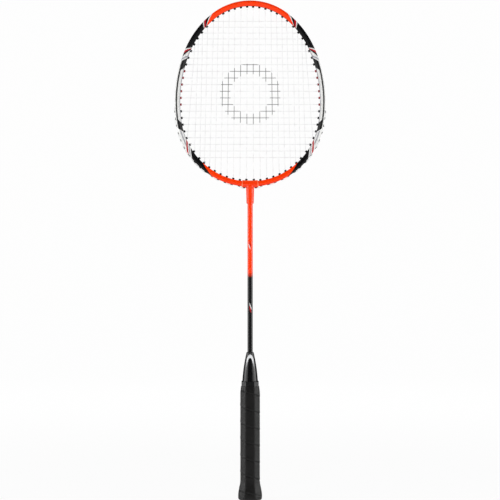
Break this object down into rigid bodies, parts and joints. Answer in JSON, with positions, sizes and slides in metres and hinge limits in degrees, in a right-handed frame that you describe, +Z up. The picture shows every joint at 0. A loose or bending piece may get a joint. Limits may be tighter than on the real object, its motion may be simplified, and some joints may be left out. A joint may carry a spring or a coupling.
{
  "type": "badminton racket",
  "caption": "Strung badminton racket: a grooved hoop with grommets and woven strings, T-joint, slim shaft, cone cap and wrapped octagonal handle with a flared butt.",
  "frame": {"origin": "centre of the butt's end face", "axes": "+Z up the shaft to the top of the head, +X across the head, +Y out of the back of the string bed, front towards -Y"},
  "size_m": [0.2054, 0.0304, 0.675],
  "materials": {
    "frame_lacquer": "gloss lacquer over moulded carbon fibre, in orange, black, red and silver",
    "sleeve_lacquer": "gloss orange lacquer over moulded carbon fibre",
    "insert_plastic": "moulded filler insert",
    "shaft_lacquer": "gloss lacquer over carbon fibre, orange above and black below",
    "cone_plastic": "gloss black moulded plastic with a plain silver arch",
    "band_vinyl": "gloss black vinyl tape",
    "timber": "bare light timber",
    "cap_plastic": "moulded plastic",
    "disc_plastic": "fine-textured moulded plastic",
    "staple_steel": "drawn steel wire",
    "grip_cushion": "matt black cushioned synthetic leather",
    "string_nylon": "braided nylon with a satin coating",
    "grommet_black": "moulded nylon",
    "grommet_red": "moulded nylon"
  },
  "bodies": {
    "root": {"butt_cap": "cap_plastic", "butt_disc": "disc_plastic", "butt_staples": "staple_steel", "cone_cap": "cone_plastic", "cross_string": "string_nylon", "finishing_band": "band_vinyl", "grip_wrap": "grip_cushion", "grommets_bottom_left": "grommet_black", "grommets_bottom_right": "grommet_black", "grommets_lower_side_left": "grommet_black", "grommets_lower_side_right": "grommet_black", "grommets_shoulder_left": "grommet_black", "grommets_shoulder_right": "grommet_black", "grommets_side_red_left": "grommet_red", "grommets_side_red_right": "grommet_red", "grommets_throat": "grommet_black", "grommets_top_left": "grommet_black", "grommets_top_right": "grommet_black", "handle_core": "timber", "head_frame": "frame_lacquer", "main_string": "string_nylon", "shaft": "shaft_lacquer", "string_knots": "string_nylon", "throat_core": "insert_plastic", "throat_sleeve": "sleeve_lacquer"}
  },
  "joints": []
}
